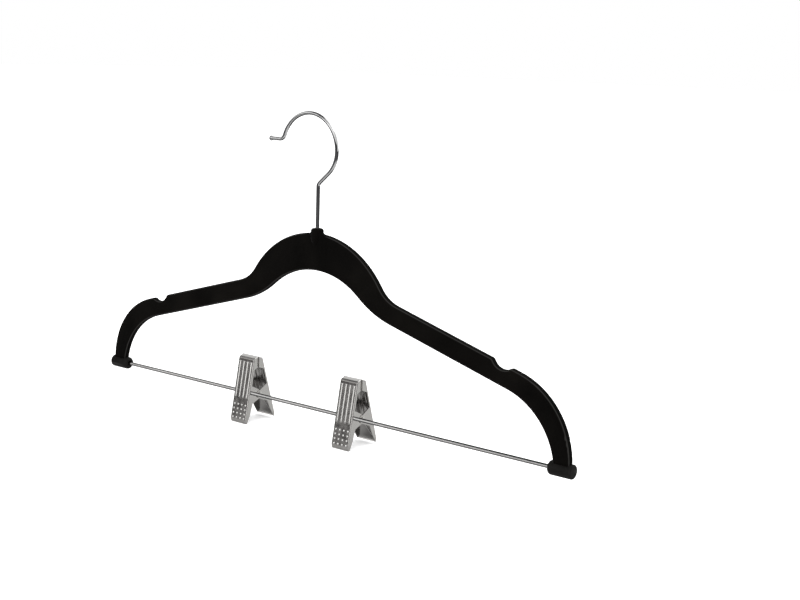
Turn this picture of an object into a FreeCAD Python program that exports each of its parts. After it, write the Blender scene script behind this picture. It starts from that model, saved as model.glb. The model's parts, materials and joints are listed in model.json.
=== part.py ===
import FreeCAD, Part
import math
import os

# Skirt hanger: a flocked body, a swivelling wire hook, a steel bar held between two end caps,
# and two stamped spring clips that slide along the bar.
# Sizes are in millimetres and degrees. The model is drawn with the bar's axis at Y = Z = 0,
# the hook's stem at X = 0 and the body's middle plane at Y = 0, and moved to its origin at the end.

# Bar and end caps
bar_diameter = 2.7
bar_clearance = 0.05
bar_end_play = 0.3
cap_diameter = 9.4
cap_inner_wall = 3.2
cap_outer_wall = 1.9
cap_inner_round = 2.2
cap_outer_round = 1.1
cap_floor = 1.0
cap_slot_clearance = 0.05
cap_slot_round = 0.4
cap_mouth_diameter = 4.6
cap_mouth_depth = 0.8
socket_depth = 13.0

# Body
body_width = 416.8
body_thickness = 5.0
body_edge_round = 1.8
arm_width = 14.2
arm_bend_width = 15.2
arm_slope = 15.8
arm_end_width = 12.2
arm_end_length = 0.6
outer_bend_radius = 54.0
dome_top_z = 123.4
dome_radius = 68.6
shoulder_blend_radius = 26.0
arch_top_z = 97.7
arch_radius = 60.5
arch_blend_radius = 74.0
notch_x = 157.3
notch_radius = 9.0
notch_depth = 3.5
notch_lip_round = 2.8
neck_diameter = 8.8
neck_height = 3.3
neck_edge_round = 1.7
neck_flare_radius = 2.9
neck_flare_sink = 0.4
neck_collar = 6.0
neck_tail_length = 7.0
neck_tail_sink = 0.05

# Hook
hook_wire = 2.6
hook_radius = 24.5
hook_side_radius = 20.0
hook_slant = 41.0
hook_offset = 8.6
hook_rise = 53.0
hook_kink_radius = 4.0
hook_end_angle = 160.0
hook_tip_radius = 4.5
hook_tip_length = 8.0
hook_ball_diameter = 3.5
hook_head_diameter = 4.0
hook_head_height = 2.0
hook_head_depth = 11.0
swivel_clearance = 0.08
swivel_end_play = 0.2

# Clips
clip_centres = {"left": -68.0, "right": 29.4}
sheet = 0.7
leaf_width = 15.4
flange_play = 0.15
clip_top_z = 25.0
front_face_y = -2.3
front_tilt = 10.6
front_toe_z = -22.4
rear_face_y = 18.3
rear_tilt = 17.0
rear_toe_z = -21.2
jaw_gap = 0.2
jaw_bend = 1.3
jaw_lip_rise = 18.0
jaw_side_height = 6.6
jaw_side_slant = 1.8
side_round = 0.8
window_flange = 1.8
ear_radius = 3.0
ear_root_rise = 7.0
ear_root_drop = 6.0
leg_flange = 5.2
leg_flange_low = 4.0
leg_flange_rise = 6.0
toe_curl = 1.3
toe_height = 3.4
rib_count = 4
rib_pitch = 3.6
rib_radius = 1.3
rib_sink = 0.6
rib_top_gap = 2.2
rib_length = 24.6
groove_radius = 0.75
dot_rows = 4
dot_pitch = 3.2
dot_radius = 1.0
dot_sink = 0.55
dot_gap = 5.9

# Hinge pin and torsion spring
hinge_y = 8.2
hinge_z = -2.0
pin_diameter = 2.4
pin_clearance = 0.05
pin_head_diameter = 3.8
pin_head_height = 0.6
pin_head_round = 0.36
pin_end_play = 0.1
spring_wire = 1.0
spring_radius = 2.4
spring_pitch = 1.55
spring_turns = 5
spring_arm_drop = 15.0
spring_seat_gap = 0.25

# Values that follow from those above
slot_floor_z = bar_diameter / 2 + bar_clearance + cap_floor
arm_outer_x = body_width / 2
arm_inner_x = arm_outer_x - arm_end_width
outer_bend_z = slot_floor_z + arm_end_length
outer_bend_x = arm_outer_x - outer_bend_radius
cap_inner_x = arm_inner_x - cap_inner_wall
cap_outer_x = arm_outer_x + cap_outer_wall
neck_top_z = dome_top_z + neck_height
hook_centre_z = neck_top_z + hook_rise
hook_head_z = neck_top_z - hook_head_depth
rear_width = leaf_width + 2 * (sheet + flange_play)
origin = FreeCAD.Vector(-hook_offset, 0, hook_centre_z + hook_radius - hook_wire / 2)

# Distance within which an edge counts as lying in a plane
edge_tolerance = 0.01

X_AXIS = FreeCAD.Vector(1, 0, 0)
Y_AXIS = FreeCAD.Vector(0, 1, 0)
Z_AXIS = FreeCAD.Vector(0, 0, 1)


def at_xz(x, z):
    return FreeCAD.Vector(x, 0, z)


def at_yz(y, z):
    return FreeCAD.Vector(0, y, z)


def on_circle(centre, radius, degrees, place):
    """Point of a circle; place makes a vector from the two coordinates of its plane."""
    angle = math.radians(degrees)
    return place(centre[0] + radius * math.cos(angle), centre[1] + radius * math.sin(angle))


def arc(centre, radius, start, end, place):
    """Arc edge from the angle start to the angle end, either way round."""
    points = [on_circle(centre, radius, a, place) for a in (start, (start + end) / 2, end)]
    return Part.Arc(*points).toShape()


def arc_middle(centre, start, end):
    """Point midway along the short arc between two points of a circle."""
    toward = (start + end) / 2 - centre
    return centre + toward * ((start - centre).Length / toward.Length)


def corner_arc(start, corner, end):
    """Arc that touches the two equal sides of a corner at their far ends."""
    turn = (corner - start).getAngle(end - corner) / 2
    middle = (start + end) / 2
    crown = middle + (corner - middle) * (math.cos(turn) / (1 + math.cos(turn)))
    return Part.Arc(start, crown, end).toShape()


def biarc(start, start_way, end, end_way):
    """Two arcs that join two points with given directions."""
    chord = end - start
    ways = start_way + end_way
    spread = 2 * (1 - start_way.dot(end_way))
    lean = chord.dot(ways)
    square = chord.dot(chord)
    reach = square / (math.sqrt(lean ** 2 + spread * square) + lean)
    joint = (start + end + (start_way - end_way) * reach) / 2
    return [
        corner_arc(start, start + start_way * reach, joint),
        corner_arc(joint, end - end_way * reach, end),
    ]


def bend_edges(start, corner, end, cut):
    """Edges from start to end round a corner whose round begins at the distance cut from it."""
    before = corner + (start - corner) * (cut / start.distanceToPoint(corner))
    after = corner + (end - corner) * (cut / end.distanceToPoint(corner))
    return [
        Part.LineSegment(start, before).toShape(),
        corner_arc(before, corner, after),
        Part.LineSegment(after, end).toShape(),
    ]


def path_edges(start, *steps):
    """Edges along points; a step that is a pair is an arc through its first point."""
    edges = []
    here = start
    for step in steps:
        if isinstance(step, tuple):
            middle, end = step
            edges.append(Part.Arc(here, middle, end).toShape())
        else:
            end = step
            edges.append(Part.LineSegment(here, end).toShape())
        here = end
    return edges


def prism(edges, direction, length):
    """Closed outline extruded by length, half of it to each side."""
    face = Part.Face(Part.Wire(edges))
    face.translate(direction * (-length / 2))
    return face.extrude(direction * length)


def mirrored_x(shape):
    return shape.mirror(FreeCAD.Vector(0, 0, 0), X_AXIS)


# Body

def arm_ways():
    """Directions along the right arm, outwards, and square to it, upwards."""
    slope = math.radians(arm_slope)
    return at_xz(math.cos(slope), -math.sin(slope)), at_xz(math.sin(slope), math.cos(slope))


def outer_bend_start():
    """Point where an arm's straight upper edge meets its outer bend."""
    return on_circle((outer_bend_x, outer_bend_z), outer_bend_radius, 90 - arm_slope, at_xz)


def inner_bend():
    """Arc from an arm's straight lower edge to the inner corner of its end: start, middle, end."""
    along, above = arm_ways()
    outer_bend = (outer_bend_x, outer_bend_z)
    middle = on_circle(outer_bend, outer_bend_radius - arm_bend_width, (90 - arm_slope) / 2, at_xz)
    end = at_xz(arm_inner_x, slot_floor_z)
    lower_edge = outer_bend_start() - above * arm_width
    # A tangent and a chord from one point: the tangent's length is the mean of the chord's two cuts
    chord = middle - end
    meet = end + chord * ((lower_edge - end).dot(above) / chord.dot(above))
    reach = math.sqrt(meet.distanceToPoint(end) * meet.distanceToPoint(middle))
    return meet - along * reach, middle, end


def blend_arc(crown_z, crown_radius, edge_point, radius):
    """Round that joins a crown on the hook's axis to an arm's straight edge: start, middle, end."""
    along, above = arm_ways()
    crown = at_xz(0, crown_z)
    lifted = edge_point + above * radius - crown
    half = lifted.dot(along)
    reach = (crown_radius + radius) ** 2 - lifted.dot(lifted) + half ** 2
    centre = crown + lifted + along * (math.sqrt(reach) - half)
    on_crown = crown + (centre - crown) * (crown_radius / (crown_radius + radius))
    on_edge = centre - above * radius
    return on_crown, arc_middle(centre, on_crown, on_edge), on_edge


def neck_flare():
    """Round from the dome up to the neck: end on the dome, middle, end on the neck."""
    dome = at_xz(0, dome_top_z - dome_radius)
    top_x = neck_diameter / 2 - neck_flare_sink
    across = top_x + neck_flare_radius
    rise = math.sqrt((dome_radius + neck_flare_radius) ** 2 - across ** 2)
    centre = dome + at_xz(across, rise)
    on_dome = dome + (centre - dome) * (dome_radius / (dome_radius + neck_flare_radius))
    on_neck = at_xz(top_x, centre.z)
    return on_dome, arc_middle(centre, on_dome, on_neck), on_neck


def body_outline():
    """Right half of the outline, from the neck round the arm to the arch's top."""
    outer_bend = at_xz(outer_bend_x, outer_bend_z)
    outer_start = outer_bend_start()
    outer_end = at_xz(arm_outer_x, outer_bend_z)
    inner_start, inner_middle, inner_end = inner_bend()
    dome = at_xz(0, dome_top_z - dome_radius)
    arch = at_xz(0, arch_top_z - arch_radius)
    arch_top = at_xz(0, arch_top_z)
    dome_start, flare, neck_side = neck_flare()
    dome_end, shoulder, arm_start = blend_arc(dome.z, dome_radius, outer_start, shoulder_blend_radius)
    arch_end, haunch, under_start = blend_arc(arch.z, arch_radius, inner_start, arch_blend_radius)
    return path_edges(
        at_xz(0, neck_side.z),
        neck_side,
        (flare, dome_start),
        (arc_middle(dome, dome_start, dome_end), dome_end),
        (shoulder, arm_start),
        outer_start,
        (arc_middle(outer_bend, outer_start, outer_end), outer_end),
        at_xz(arm_outer_x, slot_floor_z),
        inner_end,
        (inner_middle, inner_start),
        under_start,
        (haunch, arch_end),
        (arc_middle(arch, arch_end, arch_top), arch_top),
        at_xz(0, neck_side.z),
    )


def strap_notch():
    """Round cutter for the strap notch in the right arm's upper edge."""
    edge = outer_bend_start()
    edge_z = edge.z + math.tan(math.radians(arm_slope)) * (edge.x - notch_x)
    base = FreeCAD.Vector(notch_x, -body_thickness, edge_z - notch_depth + notch_radius)
    return Part.makeCylinder(notch_radius, 2 * body_thickness, base, Y_AXIS)


def is_notch_lip(edge):
    """True for the two edges through the thickness where the notch meets the arm's upper edge."""
    box = edge.BoundBox
    near = abs(abs(box.Center.x) - notch_x) < notch_radius
    return near and box.YLength > body_thickness - edge_tolerance


def is_face_edge(edge):
    """True for the outline's edges on the front and back faces, apart from the level cut ends."""
    box = edge.BoundBox
    return box.YLength < edge_tolerance and box.ZLength > edge_tolerance


def neck():
    """Collar round the hook's stem, fading out down both faces of the body."""
    radius = neck_diameter / 2
    top = at_xz(0, neck_top_z)
    collar = at_xz(radius, neck_top_z - neck_collar)
    tail = at_xz(body_thickness / 2 - neck_tail_sink, collar.z - neck_tail_length)
    edges = bend_edges(top, at_xz(radius, neck_top_z), collar, neck_edge_round)
    edges += biarc(collar, -Z_AXIS, tail, -Z_AXIS)
    edges += path_edges(tail, at_xz(0, tail.z), top)
    return Part.Face(Part.Wire(edges)).revolve(FreeCAD.Vector(0, 0, 0), Z_AXIS, 360)


def hook_pocket():
    """Bore for the stem and the closed pocket that holds its head."""
    pocket_z = hook_head_z - swivel_end_play
    pocket_height = hook_head_height + 2 * swivel_end_play
    bore = Part.makeCylinder(hook_wire / 2 + swivel_clearance, neck_top_z - pocket_z, at_xz(0, pocket_z))
    pocket = Part.makeCylinder(hook_head_diameter / 2 + swivel_clearance, pocket_height, at_xz(0, pocket_z))
    return bore.fuse(pocket)


def body():
    half = prism(body_outline(), Y_AXIS, body_thickness).cut(strap_notch())
    whole = half.fuse(mirrored_x(half)).removeSplitter()
    whole = whole.makeFillet(notch_lip_round, [e for e in whole.Edges if is_notch_lip(e)])
    whole = whole.makeFillet(body_edge_round, [e for e in whole.Edges if is_face_edge(e)])
    return whole.fuse(neck()).removeSplitter().cut(hook_pocket())


# End caps and bar

def arm_slot():
    """Cutter for the slot that an arm's end stands in."""
    top_z = cap_diameter / 2 + cap_slot_clearance
    bend = Part.Circle(*inner_bend())
    top_x = bend.Center.x + math.sqrt(bend.Radius ** 2 - (top_z - bend.Center.z) ** 2)
    edges = path_edges(
        at_xz(arm_inner_x - cap_slot_clearance, slot_floor_z),
        at_xz(arm_outer_x + cap_slot_clearance, slot_floor_z),
        at_xz(arm_outer_x + cap_slot_clearance, top_z),
        at_xz(top_x - cap_slot_clearance, top_z),
        at_xz(arm_inner_x - cap_slot_clearance, slot_floor_z),
    )
    slot = prism(edges, Y_AXIS, body_thickness + 2 * cap_slot_clearance)
    corners = [e for e in slot.Edges if e.BoundBox.ZLength > edge_tolerance]
    return slot.makeFillet(body_edge_round, corners)


def is_slot_rim(edge):
    """True for the edges round the mouth of an end cap's slot, on the barrel's upper side."""
    box = edge.BoundBox
    on_seam = box.YLength < edge_tolerance and abs(box.Center.y) < edge_tolerance
    outside = all(abs(math.hypot(v.Y, v.Z) - cap_diameter / 2) < edge_tolerance for v in edge.Vertexes)
    return outside and box.ZMin > 0 and not on_seam


def end_cap():
    """Right end cap: a barrel along the bar with a slot for the arm and a socket for the bar."""
    inner_end = at_xz(cap_inner_x, 0)
    outer_end = at_xz(cap_outer_x, 0)
    inner_rim = at_xz(cap_inner_x, cap_diameter / 2)
    outer_rim = at_xz(cap_outer_x, cap_diameter / 2)
    side = (inner_rim + outer_rim) / 2
    edges = bend_edges(inner_end, inner_rim, side, cap_inner_round)
    edges += bend_edges(side, outer_rim, outer_end, cap_outer_round)
    edges += path_edges(outer_end, inner_end)
    barrel = Part.Face(Part.Wire(edges)).revolve(FreeCAD.Vector(0, 0, 0), X_AXIS, 360)
    socket = Part.makeCylinder(bar_diameter / 2 + bar_clearance, socket_depth, inner_end, X_AXIS)
    mouth = Part.makeCone(
        cap_mouth_diameter / 2,
        bar_diameter / 2 + bar_clearance,
        cap_mouth_depth,
        inner_end,
        X_AXIS,
    )
    slotted = barrel.cut(arm_slot())
    slotted = slotted.makeFillet(cap_slot_round, [e for e in slotted.Edges if is_slot_rim(e)])
    return slotted.cut(socket).cut(mouth)


def bar():
    half = cap_inner_x + socket_depth - bar_end_play
    return Part.makeCylinder(bar_diameter / 2, 2 * half, at_xz(-half, 0), X_AXIS)


# Hook

def hook():
    """Wire hook: straight stem with an upset head, kink, slant, large bend, and a turned-out ball tip."""
    centre = (-hook_offset, hook_centre_z)
    side_centre = (hook_radius - hook_offset - hook_side_radius, hook_centre_z)
    lean = 90 - hook_slant
    slant_top = on_circle(side_centre, hook_side_radius, -lean, at_xz)
    kink = at_xz(0, slant_top.z - slant_top.x * math.tan(math.radians(hook_slant)))
    kink_cut = hook_kink_radius * math.tan(math.radians(lean / 2))
    end = on_circle(centre, hook_radius, hook_end_angle, at_xz)
    outward = end - at_xz(*centre)
    tip = end + outward * (hook_tip_radius / hook_radius)
    foot = at_xz(tip.x, tip.z - hook_tip_radius)
    ball = foot - X_AXIS * hook_tip_length
    stem_foot = at_xz(0, hook_head_z)
    edges = bend_edges(stem_foot, kink, slant_top, kink_cut)
    edges += [
        arc(side_centre, hook_side_radius, -lean, 0, at_xz),
        arc(centre, hook_radius, 0, hook_end_angle, at_xz),
        Part.Arc(end, arc_middle(tip, end, foot), foot).toShape(),
        Part.LineSegment(foot, ball).toShape(),
    ]
    section = Part.Wire(Part.makeCircle(hook_wire / 2, stem_foot, Z_AXIS))
    wire = Part.Wire(edges).makePipeShell([section], True, False)
    head = Part.makeCylinder(hook_head_diameter / 2, hook_head_height, stem_foot)
    return wire.fuse([head, Part.makeSphere(hook_ball_diameter / 2, ball)]).removeSplitter()


# Clips

def front_y(z):
    """Outer face of the front leaf at a height."""
    return front_face_y + math.tan(math.radians(front_tilt)) * z


def rear_y(z):
    """Outer face of the rear leaf at a height."""
    return rear_face_y - math.tan(math.radians(rear_tilt)) * z


jaw_y = (front_y(clip_top_z) + rear_y(clip_top_z)) / 2


def ear_tangent(root, pick):
    """Point where a line from the ear's root touches the ear's round end; pick is max or min by height."""
    distance = math.hypot(root.y - hinge_y, root.z - hinge_z)
    toward = math.degrees(math.atan2(root.z - hinge_z, root.y - hinge_y))
    swing = math.degrees(math.acos(ear_radius / distance))
    ends = [on_circle((hinge_y, hinge_z), ear_radius, toward + s * swing, at_yz) for s in (1, -1)]
    return pick(ends, key=lambda point: point.z)


def leaf_outline(face_y, inward, toe_z):
    """Side view of a leaf: folded jaw lip, straight face, curled toe, and its flanges' inner edge."""
    def at(depth, z):
        return at_yz(face_y(z) + inward * depth, z)

    fold = at(0, clip_top_z)
    jaw_end = jaw_y - inward * jaw_gap / 2
    lip_rise = abs(jaw_end - fold.y) * math.tan(math.radians(jaw_lip_rise))
    lip = at_yz(jaw_end, clip_top_z + lip_rise)
    side_z = clip_top_z - jaw_side_height
    ear_top = at(window_flange, hinge_z + ear_root_rise)
    ear_foot = at(leg_flange, hinge_z - ear_root_drop)
    upper = ear_tangent(ear_top, max)
    lower = ear_tangent(ear_foot, min)
    toe_top = at(0, toe_z + toe_height)
    edges = bend_edges(lip, fold, toe_top, jaw_bend)
    edges += path_edges(
        toe_top,
        (at(toe_curl / 4, toe_z + toe_height / 2), at(toe_curl, toe_z)),
        at(toe_curl + sheet, toe_z),
        at(leg_flange_low, toe_z + leg_flange_rise),
        ear_foot,
        lower,
        (at_yz(hinge_y + inward * ear_radius, hinge_z), upper),
        ear_top,
        at(window_flange, side_z - jaw_side_slant),
        at_yz(jaw_end, side_z),
        lip,
    )
    return edges


def leaf_hollow(face_y, inward, toe_z):
    """Side view of the space inside a leaf, one sheet thickness in from its outer face."""
    def at(depth, z):
        return at_yz(face_y(z) + inward * depth, z)

    far = abs(rear_face_y - front_face_y) * 2
    rise = math.radians(jaw_lip_rise)
    fold = at(sheet, clip_top_z + sheet * math.tan(rise) - sheet / math.cos(rise))
    lip = at_yz(fold.y + inward * far, fold.z + far * math.tan(rise))
    toe_top = at(sheet, toe_z + toe_height)
    below = toe_z - toe_height
    edges = bend_edges(lip, fold, toe_top, jaw_bend - sheet)
    edges += path_edges(
        toe_top,
        (at(sheet + toe_curl / 4, toe_z + toe_height / 2), at(sheet + toe_curl, toe_z)),
        at(sheet + toe_curl, below),
        at(far, below),
        lip,
    )
    return edges


def capsule(radius, start, end):
    span = end - start
    rod = Part.makeCylinder(radius, span.Length, start, span)
    return rod.fuse([Part.makeSphere(radius, start), Part.makeSphere(radius, end)]).removeSplitter()


def column_places(count, pitch):
    return [(i - (count - 1) / 2) * pitch for i in range(count)]


def leaf_stamping(face_y, inward, radius, sink):
    """Upright ribs of a leaf as capsules sunk into its outer face."""
    top_z = clip_top_z - rib_top_gap - rib_radius
    foot_z = top_z - rib_length
    capsules = []
    for x in column_places(rib_count, rib_pitch):
        start = FreeCAD.Vector(x, face_y(foot_z) + inward * sink, foot_z)
        end = FreeCAD.Vector(x, face_y(top_z) + inward * sink, top_z)
        capsules.append(capsule(radius, start, end))
    return capsules


def leaf_dots(face_y, inward):
    """Grip dots of a leaf, in rows below the ribs."""
    first_z = clip_top_z - rib_top_gap - rib_radius - rib_length - dot_gap
    dots = []
    for row in range(dot_rows):
        z = first_z - row * dot_pitch
        for x in column_places(rib_count, rib_pitch):
            dots.append(Part.makeSphere(dot_radius, FreeCAD.Vector(x, face_y(z) + inward * dot_sink, z)))
    return dots


def cross_hole(y, z, radius):
    return Part.makeCylinder(radius, 2 * rear_width, FreeCAD.Vector(-rear_width, y, z), X_AXIS)


def leaf(face_y, inward, toe_z, width):
    """One stamped leaf: ribbed plate, two side flanges with hinge ears, and a jaw lip."""
    solid = prism(leaf_outline(face_y, inward, toe_z), X_AXIS, width)

    def is_long_bend(edge):
        upright = edge.BoundBox.XLength < edge_tolerance
        return upright and all(abs(v.Y - face_y(v.Z)) < edge_tolerance for v in edge.Vertexes)

    solid = solid.makeFillet(side_round, [e for e in solid.Edges if is_long_bend(e)])
    solid = solid.fuse(leaf_stamping(face_y, inward, rib_radius, rib_sink) + leaf_dots(face_y, inward))
    hollow = prism(leaf_hollow(face_y, inward, toe_z), X_AXIS, width - 2 * sheet)
    grooves = leaf_stamping(face_y, inward, groove_radius, rib_sink)
    pin_hole = cross_hole(hinge_y, hinge_z, pin_diameter / 2 + pin_clearance)
    return solid.cut(hollow).cut(grooves).cut(pin_hole)


def front_leaf():
    bar_hole = cross_hole(0, 0, bar_diameter / 2 + bar_clearance)
    return leaf(front_y, 1, front_toe_z, leaf_width).cut(bar_hole)


def rear_leaf():
    return leaf(rear_y, -1, rear_toe_z, rear_width)


def hinge_pin():
    """Rivet through both leaves' ears."""
    half = rear_width / 2 + pin_end_play
    shank = Part.makeCylinder(pin_diameter / 2, 2 * half, FreeCAD.Vector(-half, hinge_y, hinge_z), X_AXIS)
    heads = []
    for side in (1, -1):
        base = FreeCAD.Vector(side * half, hinge_y, hinge_z)
        head = Part.makeCylinder(pin_head_diameter / 2, pin_head_height, base, X_AXIS * side)
        outer_x = side * (half + pin_head_height)
        rim = [e for e in head.Edges if abs(e.BoundBox.XMin - outer_x) < edge_tolerance]
        heads.append(head.makeFillet(pin_head_round, rim))
    return shank.fuse(heads)


# Torsion spring

def coil_point(turned, first_angle):
    """Point of the coil and its direction after an angle has been turned, front arm first."""
    angle = math.radians(first_angle - turned)
    climb = spring_pitch / 360
    point = FreeCAD.Vector(
        climb * turned,
        hinge_y + spring_radius * math.cos(angle),
        hinge_z + spring_radius * math.sin(angle),
    )
    way = FreeCAD.Vector(math.degrees(climb) / spring_radius, math.sin(angle), -math.cos(angle))
    way.normalize()
    return point, way


def arm_target(face_y, inward):
    """End of a spring arm, close to the inside of a leg."""
    z = hinge_z - spring_arm_drop
    return face_y(z) + inward * (sheet + spring_wire / 2 + spring_seat_gap), z


def tangent_turn(target, sense):
    """Angle on the coil from which a straight arm reaches the target, and the arm's length."""
    across = target[0] - hinge_y
    down = target[1] - hinge_z
    distance = math.hypot(across, down)
    swing = math.degrees(math.acos(spring_radius / distance))
    length = math.sqrt(distance ** 2 - spring_radius ** 2)
    return math.degrees(math.atan2(down, across)) + sense * swing, length


def least_self_gap(points):
    """Least clear distance between stretches of the wire that lie more than half a turn apart."""
    reach = math.pi * spring_radius
    lengths = [0.0]
    for a, b in zip(points, points[1:]):
        lengths.append(lengths[-1] + a.distanceToPoint(b))
    gap = math.inf
    for i, a in enumerate(points):
        for j in range(i + 1, len(points)):
            if lengths[j] - lengths[i] > reach:
                gap = min(gap, a.distanceToPoint(points[j]))
    return gap - spring_wire


def spring():
    """Torsion spring: straight front arm, coil round the hinge pin, straight rear arm."""
    first_angle, front_length = tangent_turn(arm_target(front_y, 1), -1)
    last_angle, rear_length = tangent_turn(arm_target(rear_y, -1), 1)
    sweep = (first_angle - last_angle) % 360 + 360 * spring_turns
    steps = math.ceil(sweep / 90)
    turns = [coil_point(sweep * i / steps, first_angle) for i in range(steps + 1)]
    first, first_way = turns[0]
    last, last_way = turns[-1]
    front_end = first - first_way * front_length
    rear_end = last + last_way * rear_length
    edges = [Part.LineSegment(front_end, first).toShape()]
    for (a, a_way), (b, b_way) in zip(turns, turns[1:]):
        edges += biarc(a, a_way, b, b_way)
    edges.append(Part.LineSegment(last, rear_end).toShape())
    path = Part.Wire(edges)
    print("spring least self-gap", round(least_self_gap(path.discretize(400)), 2), "mm")
    section = Part.Wire(Part.makeCircle(spring_wire / 2, front_end, first_way))
    coil = path.makePipeShell([section], True, False)
    coil.translate(X_AXIS * (-last.x / 2))
    return coil


def clip():
    return {
        "front_leaf": front_leaf(),
        "rear_leaf": rear_leaf(),
        "hinge_pin": hinge_pin(),
        "spring": spring(),
    }


def parts():
    cap = end_cap()
    nodes = {
        "body": body(),
        "hook": hook(),
        "bar": bar(),
        "left_end_cap": mirrored_x(cap),
        "right_end_cap": cap,
    }
    pieces = clip()
    for side, centre in clip_centres.items():
        for name, shape in pieces.items():
            nodes[f"{side}_{name}"] = shape.translated(X_AXIS * centre)
    return nodes


os.makedirs("parts", exist_ok=True)
for name, shape in parts().items():
    shape.translate(-origin)
    shape.exportStep(f"parts/{name}.step")
    print(name, len(shape.Solids), "solid", round(shape.Volume, 1), "mm3", shape.isValid())
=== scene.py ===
import json
import math

import bmesh
import bpy
from mathutils import Matrix, Vector


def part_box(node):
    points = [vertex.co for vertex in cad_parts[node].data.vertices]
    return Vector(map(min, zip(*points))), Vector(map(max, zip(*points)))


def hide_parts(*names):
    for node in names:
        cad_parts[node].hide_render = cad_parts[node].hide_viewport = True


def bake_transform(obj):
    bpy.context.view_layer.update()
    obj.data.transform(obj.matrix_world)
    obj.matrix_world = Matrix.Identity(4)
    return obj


# Skirt hanger: finishes for the solids, wound springs, floor, soft studio light and camera.
# Lengths are in metres, angles in degrees.

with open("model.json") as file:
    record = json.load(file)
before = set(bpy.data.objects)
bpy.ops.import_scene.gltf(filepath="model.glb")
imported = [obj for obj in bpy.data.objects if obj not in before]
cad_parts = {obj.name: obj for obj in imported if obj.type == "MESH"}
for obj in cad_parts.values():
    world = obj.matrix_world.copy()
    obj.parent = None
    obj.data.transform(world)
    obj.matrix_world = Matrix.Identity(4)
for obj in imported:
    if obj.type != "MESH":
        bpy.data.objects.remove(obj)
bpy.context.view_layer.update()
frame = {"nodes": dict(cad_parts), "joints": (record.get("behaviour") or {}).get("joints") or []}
nodes = frame["nodes"]
joints = {joint["name"]: joint for joint in frame["joints"]}
sides = ("left", "right")
x_axis = (1.0, 0.0, 0.0)
y_axis = (0.0, 1.0, 0.0)
z_axis = (0.0, 0.0, 1.0)

# Camera
camera_place = (0.6154, -0.6865, 0.0433)
camera_azimuth = 37.86
camera_pitch = 10.37
camera_roll = 1.81
camera_lens_mm = 60.87
sensor_width_mm = 36.0
camera_near = 0.01
camera_far = 100.0

# Floor: pale to the eye. In reflections it stands in for a row of hangers: dim far away, and
# near the hanger in bands, each given by its place along Y and its brightness
floor_half = 12.0
floor_pale = (0.92, 0.92, 0.92, 1.0)
floor_glow = 0.25
floor_roughness = 0.9
floor_dim = (0.045, 0.045, 0.047, 1.0)
near_floor = 0.28
far_floor = 0.40
band_reach = 0.25
floor_bands = ((-0.055, 0.34), (-0.045, 0.03), (-0.035, 0.03), (-0.025, 0.40))

# Room: white to the eye, and in reflections dim apart from one bright side
room_white = (1.0, 1.0, 1.0, 1.0)
room_dim = (0.06, 0.06, 0.062, 1.0)
room_strength = 1.40
bright_azimuth = 38.0
bright_range = (0.25, 0.8)

# Softboxes and cards, all turned to one aim. A spared piece isn't lit by its card
aim = (0.0, 0.0, -0.15)
softboxes = {
    "back_left_softbox": {"place": (-0.95, 0.55, 0.60), "size": (1.0, 0.8), "radiance": 0.55},
    "left_softbox": {"place": (-1.00, -0.55, 0.50), "size": (1.2, 0.8), "radiance": 0.4},
    "left_card": {"place": (-1.15, 0.0, 0.05), "size": (0.9, 0.5), "radiance": 0.15},
    "back_softbox": {"place": (0.15, 0.95, 0.85), "size": (1.3, 0.8), "radiance": 1.0},
    "top_softbox": {"place": (0.40, 0.10, 1.00), "size": (1.0, 0.9), "radiance": 0.8},
    "front_left_card": {"place": (-1.75, -2.40, 0.42), "size": (1.6, 0.75), "radiance": 1.25},
    "front_softbox": {"place": (-0.05, -1.15, 0.55), "size": (1.0, 0.6), "radiance": 0.9},
    "front_card": {
        "place": (0.30, -1.40, 0.08), "size": (1.5, 0.55), "radiance": 1.6, "spared": "hook"
    },
    "front_right_softbox": {"place": (0.60, -0.75, 0.60), "size": (1.2, 0.9), "radiance": 0.75},
}

# Range that the values of noise mostly keep to
noise_low = 0.3
noise_high = 0.7

# Flock on the body. A relief is a bump's strength and distance
flock_patches = {"scale": 22.0, "detail": 3.0, "distortion": 0.8}
flock_clumps = {"scale": 1500.0, "detail": 3.0, "roughness": 0.65}
flock_tones = ((0.0009, 0.0007, 0.0005), (0.0030, 0.0025, 0.0019))
flock_roughness = (0.82, 1.0)
flock_relief = (0.55, 0.0003)
flock_values = {
    "Specular IOR Level": 0.05,
    "Sheen Weight": 0.04,
    "Sheen Roughness": 0.30,
    "Sheen Tint": (0.9, 0.88, 0.87, 1.0),
}

# Painted sheen on the body's rounded edges: a paler pile colour that stands in for the light
# they catch. It lies where the square of the normal's part along Y is between the two ranges, away
# from the neck
flock_painted_sheen = (0.0165, 0.0160, 0.0152, 1.0)
round_start = (0.30, 0.48)
round_end = (0.66, 0.84)
neck_place = (0.0086, 0.0, -0.0820)
neck_reach = 0.0085
neck_fade = 0.0045

# Plastic of the end caps
cap_flow = {"scale": 160.0, "detail": 2.0, "distortion": 1.5}
cap_grain = {"scale": 3200.0, "detail": 2.0}
cap_tones = ((0.0036, 0.0033, 0.0029), (0.0060, 0.0056, 0.0051))
# Painted highlight: a paler tone on the caps' sharp edges, and the pointiness range where it lies
cap_painted_highlight = (0.016, 0.0152, 0.0142, 1.0)
cap_highlight_range = (0.51, 0.57)
cap_roughness = (0.48, 0.62)
cap_relief = (0.25, 0.0001)
cap_specular = 0.08
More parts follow.
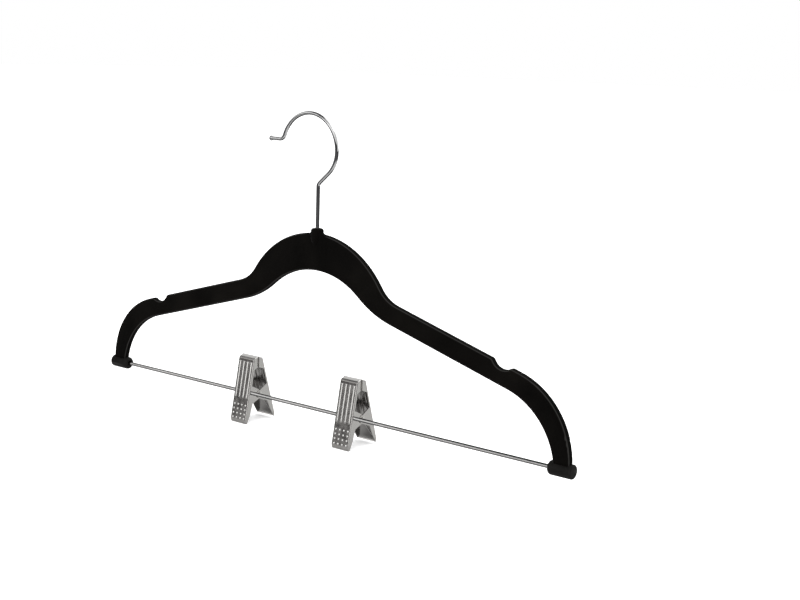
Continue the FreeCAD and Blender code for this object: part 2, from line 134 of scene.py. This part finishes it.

# Plated steel. A dark reflection is painted on the hook's underside, and on the bar's underside
# and top: where the normal's part along the way, or its square if both sides are meant, passes the
# range
plated_lines = {"scale": 1.0, "detail": 4.0, "roughness": 0.6}
plated_smudges = {"scale": 120.0, "detail": 3.0, "distortion": 0.6}
line_depth = 0.00005
painted_reflection_tone = (0.09, 0.09, 0.09, 1.0)
platings = {
    "spring_steel": {
        "stretch": (300.0, 300.0, 300.0),
        "tones": ((0.42, 0.41, 0.40), (0.58, 0.57, 0.55)),
        "gloss": (0.18, 0.32),
        "grain": 0.10,
    },
    "pin_steel": {
        "stretch": (900.0, 3000.0, 3000.0),
        "tones": ((0.52, 0.51, 0.49), (0.66, 0.65, 0.63)),
        "gloss": (0.16, 0.28),
        "grain": 0.12,
    },
    "hook_chrome": {
        "stretch": (700.0, 700.0, 700.0),
        "tones": ((0.70, 0.70, 0.70), (0.82, 0.82, 0.82)),
        "gloss": (0.02, 0.07),
        "grain": 0.02,
        "painted_reflection": {"way": (0.0, 0.0, -1.0), "range": (0.48, 0.58), "both": False},
    },
    "bar_chrome": {
        "stretch": (25.0, 3500.0, 3500.0),
        "tones": ((0.66, 0.65, 0.64), (0.76, 0.75, 0.74)),
        "gloss": (0.04, 0.10),
        "grain": 0.05,
        "painted_reflection": {"way": (0.0, -0.334, -0.943), "range": (0.18, 0.36), "both": True},
    },
}

# Nickel of the clips' leaves
nickel_lines = {"scale": 1.0, "detail": 3.0}
nickel_smudges = {"scale": 210.0, "detail": 3.0, "distortion": 0.7}
nickel_stretch = (2500.0, 2500.0, 90.0)
nickel_tones = ((0.35, 0.335, 0.32), (0.45, 0.435, 0.42))
nickel_gloss = (0.15, 0.26)
nickel_grain = 0.10

# Outer faces of the leaves: outward direction, and the face's distance along it
leaf_faces = {
    "front": {"out": (0.0, -0.98294, 0.18395), "depth": -0.03506},
    "rear": {"out": (0.0, 0.95630, 0.29237), "depth": -0.04182},
}

# Painted highlight on edges, dots and, less so, ribs, a bright tone: how far they stand off the
# outer face, and heights
painted_highlight_tone = (0.95, 0.94, 0.92, 1.0)
highlight_edge_range = (0.50, 0.58)
raised_start = 0.00003
raised_end = 0.00012
rib_highlight = 0.15
dots_top = -0.2105
ribs_foot = -0.2080

# Painted light and shade: a paler tone on the flanges at the leaves' sides, and painted shade on
# the insides and on the fold between ribs and lip
flange_painted_light = (0.57, 0.56, 0.54, 1.0)
inside_painted_shade = (0.38, 0.37, 0.36, 1.0)
turned_start = 0.6
turned_end = 0.9
middle_fade = 0.0005
fold_painted_shade = (0.22, 0.21, 0.20, 1.0)
fold_low = -0.1804
fold_high = -0.1782
fold_fade = 0.0004

# Torsion springs, with arm ends measured from the hinge across Y and along Z
spring_wire = 0.001
spring_radius = 0.0024
spring_pitch = 0.00155
spring_turns = 5
spring_front_end = (-0.01223, -0.015)
spring_rear_end = (0.01385, -0.015)
spring_steps_per_turn = 32
spring_arm_steps = 12
spring_ring_sides = 18
spring_end_round = 0.3


# Small helpers for materials

def new_material(name):
    material = bpy.data.materials.new(name)
    material.use_nodes = True
    return material, material.node_tree, material.node_tree.nodes["Principled BSDF"]


def set_inputs(node, values):
    for name, value in values.items():
        node.inputs[name].default_value = value


def add(tree, kind, inputs=None, **settings):
    """New shader node with its settings and the values of its unlinked inputs."""
    node = tree.nodes.new(kind)
    for name, value in settings.items():
        setattr(node, name, value)
    set_inputs(node, inputs or {})
    return node


def object_place(tree, stretch=(1.0, 1.0, 1.0)):
    """Place on the piece, in metres, stretched along the piece's axes."""
    coordinates = add(tree, "ShaderNodeTexCoord")
    mapping = add(tree, "ShaderNodeMapping", {"Scale": stretch})
    tree.links.new(coordinates.outputs["Object"], mapping.inputs["Vector"])
    return mapping.outputs["Vector"]


def object_normal(tree):
    return add(tree, "ShaderNodeTexCoord").outputs["Normal"]


def noise(tree, place, scale, detail, roughness=0.5, distortion=0.0):
    values = {"Scale": scale, "Detail": detail, "Roughness": roughness, "Distortion": distortion}
    node = add(tree, "ShaderNodeTexNoise", values)
    tree.links.new(place, node.inputs["Vector"])
    return node.outputs["Fac"]


def spread(tree, value, low, high, start=noise_low, end=noise_high):
    """Value moved from the range start to end into the range low to high."""
    limits = {"From Min": start, "From Max": end, "To Min": low, "To Max": high}
    node = add(tree, "ShaderNodeMapRange", limits)
    tree.links.new(value, node.inputs["Value"])
    return node.outputs["Result"]


def rising(tree, value, start, end):
    """Share from 0 at the start to 1 at the end."""
    return spread(tree, value, 0.0, 1.0, start, end)


def falling(tree, value, start, end):
    """Share from 1 at the start to 0 at the end."""
    return spread(tree, value, 1.0, 0.0, start, end)


def shade(tree, value, stops):
    """Colour ramp through stops, pairs of a position and a colour."""
    ramp = add(tree, "ShaderNodeValToRGB")
    elements = ramp.color_ramp.elements
    while len(elements) < len(stops):
        elements.new(0.5)
    for element, (position, colour) in zip(elements, stops):
        element.position = position
        element.color = (*colour, 1.0)
    tree.links.new(value, ramp.inputs["Fac"])
    return ramp.outputs["Color"]


def two_tone(tree, value, tones):
    """Colour that follows noise from a dark tone to a light one."""
    return shade(tree, value, list(zip((noise_low, noise_high), tones)))


def bump(tree, height, strength, distance):
    node = add(tree, "ShaderNodeBump", {"Strength": strength, "Distance": distance})
    tree.links.new(height, node.inputs["Height"])
    return node.outputs["Normal"]


def edge_share(tree, start, end):
    """Share from 0 in hollows to 1 on sharp edges."""
    geometry = add(tree, "ShaderNodeNewGeometry")
    return rising(tree, geometry.outputs["Pointiness"], start, end)


def layered(tree, colour, share, tone):
    """Colour covered by a tone by a share from 0 to 1. Both may be sockets or plain colours."""
    node = add(tree, "ShaderNodeMix", data_type="RGBA")
    tree.links.new(share, node.inputs["Factor"])
    for name, layer in (("A", colour), ("B", tone)):
        if isinstance(layer, tuple):
            node.inputs[name].default_value = layer
        else:
            tree.links.new(layer, node.inputs[name])
    return node.outputs["Result"]


def along(tree, vector, way):
    """Length of a vector along a direction."""
    node = add(tree, "ShaderNodeVectorMath", operation="DOT_PRODUCT")
    node.inputs[1].default_value = way
    tree.links.new(vector, node.inputs[0])
    return node.outputs["Value"]


def product(tree, first, second):
    node = add(tree, "ShaderNodeMath", operation="MULTIPLY")
    tree.links.new(first, node.inputs[0])
    tree.links.new(second, node.inputs[1])
    return node.outputs["Value"]


def painted_sheen_share(tree):
    """Share from 0 on the body's faces and sides to 1 on the round between them, off the neck,
    where a sheen is painted.
    """
    facing = along(tree, object_normal(tree), y_axis)
    square = product(tree, facing, facing)
    on_round = product(tree, rising(tree, square, *round_start), falling(tree, square, *round_end))
    distance = add(tree, "ShaderNodeVectorMath", operation="DISTANCE")
    distance.inputs[1].default_value = neck_place
    tree.links.new(object_place(tree), distance.inputs[0])
    off_neck = rising(tree, distance.outputs["Value"], neck_reach, neck_reach + neck_fade)
    return product(tree, on_round, off_neck)


def turned_away(tree, outward):
    """Share from 0 on outer faces to 1 on inner ones."""
    return falling(tree, outward, -turned_end, -turned_start)


def link_finish(tree, shader, colour, roughness, normal):
    tree.links.new(colour, shader.inputs["Base Color"])
    tree.links.new(roughness, shader.inputs["Roughness"])
    tree.links.new(normal, shader.inputs["Normal"])


# Materials

def flock_material():
    """Short black velvet pile: brushed patches, fine fibre clumps, and a sheen painted as a paler
    colour along the edges.
    """
    material, tree, shader = new_material("flock_velvet")
    place = object_place(tree)
    brushed = noise(tree, place, **flock_patches)
    clumps = noise(tree, place, **flock_clumps)
    # Painted sheen: the pile's colour is paler on the rounded edges
    colour = layered(tree, two_tone(tree, brushed, flock_tones), painted_sheen_share(tree), flock_painted_sheen)
    roughness = spread(tree, clumps, *flock_roughness)
    link_finish(tree, shader, colour, roughness, bump(tree, clumps, *flock_relief))
    set_inputs(shader, flock_values)
    return material


def cap_material():
    """Black moulded plastic with a fine spark grain, faint flow marks and a highlight painted as a
    paler colour on the edges.
    """
    material, tree, shader = new_material("cap_plastic")
    place = object_place(tree)
    flow = noise(tree, place, **cap_flow)
    grain = noise(tree, place, **cap_grain)
    # Painted highlight on the sharp edges
    edges = edge_share(tree, *cap_highlight_range)
    colour = layered(tree, two_tone(tree, flow, cap_tones), edges, cap_painted_highlight)
    roughness = spread(tree, flow, *cap_roughness)
    link_finish(tree, shader, colour, roughness, bump(tree, grain, *cap_relief))
    shader.inputs["Specular IOR Level"].default_value = cap_specular
    return material


def plated_material(name, stretch, tones, gloss, grain, painted_reflection=None):
    """Bright plating over drawn or rolled steel: smudges, fine lines, and a dark reflection painted
    on the sides given.
    """
    material, tree, shader = new_material(name)
    lines = noise(tree, object_place(tree, stretch), **plated_lines)
    smudges = noise(tree, object_place(tree), **plated_smudges)
    colour = two_tone(tree, smudges, tones)
    # Painted dark reflection on the sides that face the given way
    if painted_reflection is not None:
        facing = along(tree, object_normal(tree), painted_reflection["way"])
        if painted_reflection["both"]:
            facing = product(tree, facing, facing)
        colour = layered(tree, colour, rising(tree, facing, *painted_reflection["range"]), painted_reflection_tone)
    roughness = spread(tree, smudges, *gloss)
    link_finish(tree, shader, colour, roughness, bump(tree, lines, grain, line_depth))
    shader.inputs["Metallic"].default_value = 1.0
    return material


def nickel_material(side, leaf):
    """Nickel on stamped sheet with painted light and shade: painted shade on the fold and insides,
    a paler painted tone on the flanges, painted highlights on edges, ribs and dots.
    """
    material, tree, shader = new_material(f"clip_nickel_{side}_{leaf}")
    face = leaf_faces[leaf]
    low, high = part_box(f"{side}_{leaf}_leaf")
    middle = (low.x + high.x) / 2
    place = object_place(tree)
    normal = object_normal(tree)
    height = along(tree, place, z_axis)
    across = along(tree, place, x_axis)
    depth = along(tree, place, face["out"])
    lines = noise(tree, object_place(tree, nickel_stretch), **nickel_lines)
    smudges = noise(tree, place, **nickel_smudges)
    above_ribs = rising(tree, height, fold_low - fold_fade, fold_low)
    below_lip = falling(tree, height, fold_high, fold_high + fold_fade)
    half = spread(tree, across, -1.0, 1.0, middle - middle_fade, middle + middle_fade)
    sideways = product(tree, along(tree, normal, x_axis), half)
    outward = along(tree, normal, face["out"])
    raised = rising(tree, depth, face["depth"] + raised_start, face["depth"] + raised_end)
    highlight_strength = spread(tree, height, 1.0, rib_highlight, dots_top, ribs_foot)
    # Painted shade on the fold and insides, a paler painted tone on the flanges, painted highlights
    # on edges, dots and ribs
    layers = (
        (product(tree, above_ribs, below_lip), fold_painted_shade),
        (edge_share(tree, *highlight_edge_range), painted_highlight_tone),
        (rising(tree, sideways, turned_start, turned_end), flange_painted_light),
        (turned_away(tree, sideways), inside_painted_shade),
        (turned_away(tree, outward), inside_painted_shade),
        (product(tree, raised, highlight_strength), painted_highlight_tone),
    )
    colour = two_tone(tree, smudges, nickel_tones)
    for share, tone in layers:
        colour = layered(tree, colour, share, tone)
    roughness = spread(tree, smudges, *nickel_gloss)
    link_finish(tree, shader, colour, roughness, bump(tree, lines, nickel_grain, line_depth))
    shader.inputs["Metallic"].default_value = 1.0
    return material


def paint(material, *names):
    for name in names:
        nodes[name].data.materials.clear()
        nodes[name].data.materials.append(material)


# Objects

def new_object(name, data):
    piece = bpy.data.objects.new(name, data)
    bpy.context.scene.collection.objects.link(piece)
    return piece


def mesh_object(name, mesh):
    """New object from a bmesh, which is freed."""
    data = bpy.data.meshes.new(name)
    mesh.to_mesh(data)
    mesh.free()
    return new_object(name, data)


# Torsion springs

def coil_point(hinge, turned, first_angle):
    """Point of the coil, before it is centred on the clip, and its direction."""
    angle = first_angle - turned
    climb = spring_pitch / (2 * math.pi)
    offset = (climb * turned, spring_radius * math.cos(angle), spring_radius * math.sin(angle))
    way = Vector((climb / spring_radius, math.sin(angle), -math.cos(angle)))
    return hinge + Vector(offset), way.normalized()


def arm_angle(end, sense):
    """Angle on the coil from which a straight arm reaches its end, and the arm's length."""
    distance = math.hypot(*end)
    swing = math.acos(spring_radius / distance)
    length = math.sqrt(distance ** 2 - spring_radius ** 2)
    return math.atan2(end[1], end[0]) + sense * swing, length


def spring_path(hinge):
    """Centre line of a spring: front arm, coil round the hinge pin, rear arm."""
    first_angle, front_length = arm_angle(spring_front_end, -1)
    last_angle, rear_length = arm_angle(spring_rear_end, 1)
    sweep = (first_angle - last_angle) % (2 * math.pi) + 2 * math.pi * spring_turns
    count = math.ceil(sweep / (2 * math.pi) * spring_steps_per_turn)
    coil = [coil_point(hinge, sweep * i / count, first_angle) for i in range(count + 1)]
    first, first_way = coil[0]
    last, last_way = coil[-1]
    shares = [i / spring_arm_steps for i in range(spring_arm_steps + 1)]
    points = [first - first_way * front_length * (1 - share) for share in shares[:-1]]
    points += [point for point, way in coil]
    points += [last + last_way * rear_length * share for share in shares[1:]]
    centring = Vector(((hinge.x - last.x) / 2, 0, 0))
    return [point + centring for point in points]


def tube(name, points, radius):
    """Closed tube along points, its cut ends slightly rounded."""
    ways = [(b - a).normalized() for a, b in zip(points, points[1:])]
    ways.append(ways[-1])
    side = ways[0].orthogonal().normalized()
    inset = radius * spring_end_round
    stations = [(points[0], ways[0], radius - inset)]
    stations.append((points[0] + ways[0] * inset, ways[0], radius))
    stations += [(p, w, radius) for p, w in zip(points[1:-1], ways[1:-1])]
    stations.append((points[-1] - ways[-1] * inset, ways[-1], radius))
    stations.append((points[-1], ways[-1], radius - inset))
    turns = [2 * math.pi * i / spring_ring_sides for i in range(spring_ring_sides)]
    mesh = bmesh.new()
    rings = []
    way = ways[0]
    for point, next_way, ring_radius in stations:
        side = way.rotation_difference(next_way) @ side
        way = next_way
        across = way.cross(side)
        rings.append([
            mesh.verts.new(point + (side * math.cos(t) + across * math.sin(t)) * ring_radius)
            for t in turns
        ])
    for ring, following in zip(rings, rings[1:]):
        for i in range(spring_ring_sides):
            j = (i + 1) % spring_ring_sides
            wall = mesh.faces.new((ring[i], ring[j], following[j], following[i]))
            wall.smooth = True
    mesh.faces.new(rings[0][::-1])
    mesh.faces.new(rings[-1])
    return mesh_object(name, mesh)


def springs(material):
    for side in sides:
        hinge = Vector(joints[f"{side}_jaw_open"]["pos_m"])
        points = spring_path(hinge)
        piece = tube(f"{side}_spring_wire", points, spring_wire / 2)
        piece.data.materials.append(material)
        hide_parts(f"{side}_spring")
        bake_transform(piece)


# Floor, light and camera

def near_share(tree, place):
    """Share from 1 under the object to 0 far away on the floor."""
    distance = add(tree, "ShaderNodeVectorMath", operation="LENGTH")
    tree.links.new(place, distance.inputs[0])
    return falling(tree, distance.outputs["Value"], near_floor, far_floor)


def floor_material():
    """Pale paper; in reflections it is dim far away and in a band in front of the object."""
    material, tree, shader = new_material("floor_paper")
    reflection = add(tree, "ShaderNodeLightPath").outputs["Is Glossy Ray"]
    place = object_place(tree)
    depth = rising(tree, along(tree, place, y_axis), -band_reach, band_reach)
    stops = [((y + band_reach) / (2 * band_reach), (tone,) * 3) for y, tone in floor_bands]
    reflected = layered(tree, floor_dim, near_share(tree, place), shade(tree, depth, stops))
    colour = layered(tree, floor_pale, reflection, reflected)
    glow = spread(tree, reflection, floor_glow, 0.0, 0.0, 1.0)
    tree.links.new(colour, shader.inputs["Base Color"])
    tree.links.new(glow, shader.inputs["Emission Strength"])
    shader.inputs["Emission Color"].default_value = floor_pale
    shader.inputs["Roughness"].default_value = floor_roughness
    shader.inputs["Specular IOR Level"].default_value = 0.0
    return material


def floor():
    """Floor under the lowest points of the clips."""
    height = min(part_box(f"{side}_front_leaf")[0].z for side in sides)
    mesh = bmesh.new()
    bmesh.ops.create_grid(mesh, x_segments=1, y_segments=1, size=floor_half)
    piece = mesh_object("floor", mesh)
    piece.location.z = height
    piece.data.materials.append(floor_material())


def choose(tree, share, first, second):
    """Mix of two shaders, the second by a share from 0 to 1."""
    node = add(tree, "ShaderNodeMixShader")
    tree.links.new(share, node.inputs["Fac"])
    tree.links.new(first, node.inputs[1])
    tree.links.new(second, node.inputs[2])
    return node.outputs["Shader"]


def room():
    """White backdrop, even light on dull surfaces, and a dim studio in reflections."""
    world = bpy.data.worlds.new("room")
    bpy.context.scene.world = world
    world.use_nodes = True
    tree = world.node_tree
    rays = add(tree, "ShaderNodeLightPath")
    way = add(tree, "ShaderNodeTexCoord").outputs["Generated"]
    azimuth = math.radians(bright_azimuth)
    bright = along(tree, way, (math.sin(azimuth), math.cos(azimuth), 0.0))
    studio = layered(tree, room_dim, rising(tree, bright, *bright_range), room_white)
    even = tree.nodes["Background"]
    set_inputs(even, {"Color": room_white, "Strength": room_strength})
    reflected = add(tree, "ShaderNodeBackground", {"Strength": 1.0})
    tree.links.new(studio, reflected.inputs["Color"])
    seen = add(tree, "ShaderNodeBackground", {"Color": room_white, "Strength": 1.0})
    even, reflected, seen = [node.outputs["Background"] for node in (even, reflected, seen)]
    lit = choose(tree, rays.outputs["Is Glossy Ray"], even, reflected)
    surface = choose(tree, rays.outputs["Is Camera Ray"], lit, seen)
    tree.links.new(surface, tree.nodes["World Output"].inputs["Surface"])


def softbox(name, place, size, radiance, spared=None):
    """Area light, hidden from the camera, that doesn't light the spared piece."""
    light = bpy.data.lights.new(name, "AREA")
    light.shape = "RECTANGLE"
    light.size, light.size_y = size
    light.energy = radiance * math.pi * size[0] * size[1]
    lamp = new_object(name, light)
    lamp.location = place
    lamp.visible_camera = False
    lamp.rotation_euler = (Vector(aim) - Vector(place)).to_track_quat("-Z", "Y").to_euler()
    if spared is not None:
        left_out = bpy.data.collections.new(f"{name}_spares")
        left_out.objects.link(nodes[spared])
        left_out.collection_objects[0].light_linking.link_state = "EXCLUDE"
        lamp.light_linking.receiver_collection = left_out


def camera():
    data = bpy.data.cameras.new("camera")
    data.sensor_fit = "HORIZONTAL"
    data.sensor_width = sensor_width_mm
    data.lens = camera_lens_mm
    data.clip_start = camera_near
    data.clip_end = camera_far
    piece = new_object("camera", data)
    turn = Matrix.Rotation(math.radians(camera_azimuth), 4, "Z")
    tilt = Matrix.Rotation(math.radians(90 - camera_pitch), 4, "X")
    roll = Matrix.Rotation(math.radians(camera_roll), 4, "Z")
    piece.matrix_world = Matrix.Translation(camera_place) @ turn @ tilt @ roll
    bpy.context.scene.camera = piece


plated = {name: plated_material(name, **values) for name, values in platings.items()}
paint(flock_material(), "body")
paint(cap_material(), "left_end_cap", "right_end_cap")
paint(plated["hook_chrome"], "hook")
paint(plated["bar_chrome"], "bar")
for side in sides:
    for leaf in leaf_faces:
        paint(nickel_material(side, leaf), f"{side}_{leaf}_leaf")
paint(plated["pin_steel"], *[f"{side}_hinge_pin" for side in sides])
springs(plated["spring_steel"])

floor()
room()
for name, values in softboxes.items():
    softbox(name, **values)
camera()
bpy.context.scene.view_settings.view_transform = "Standard"
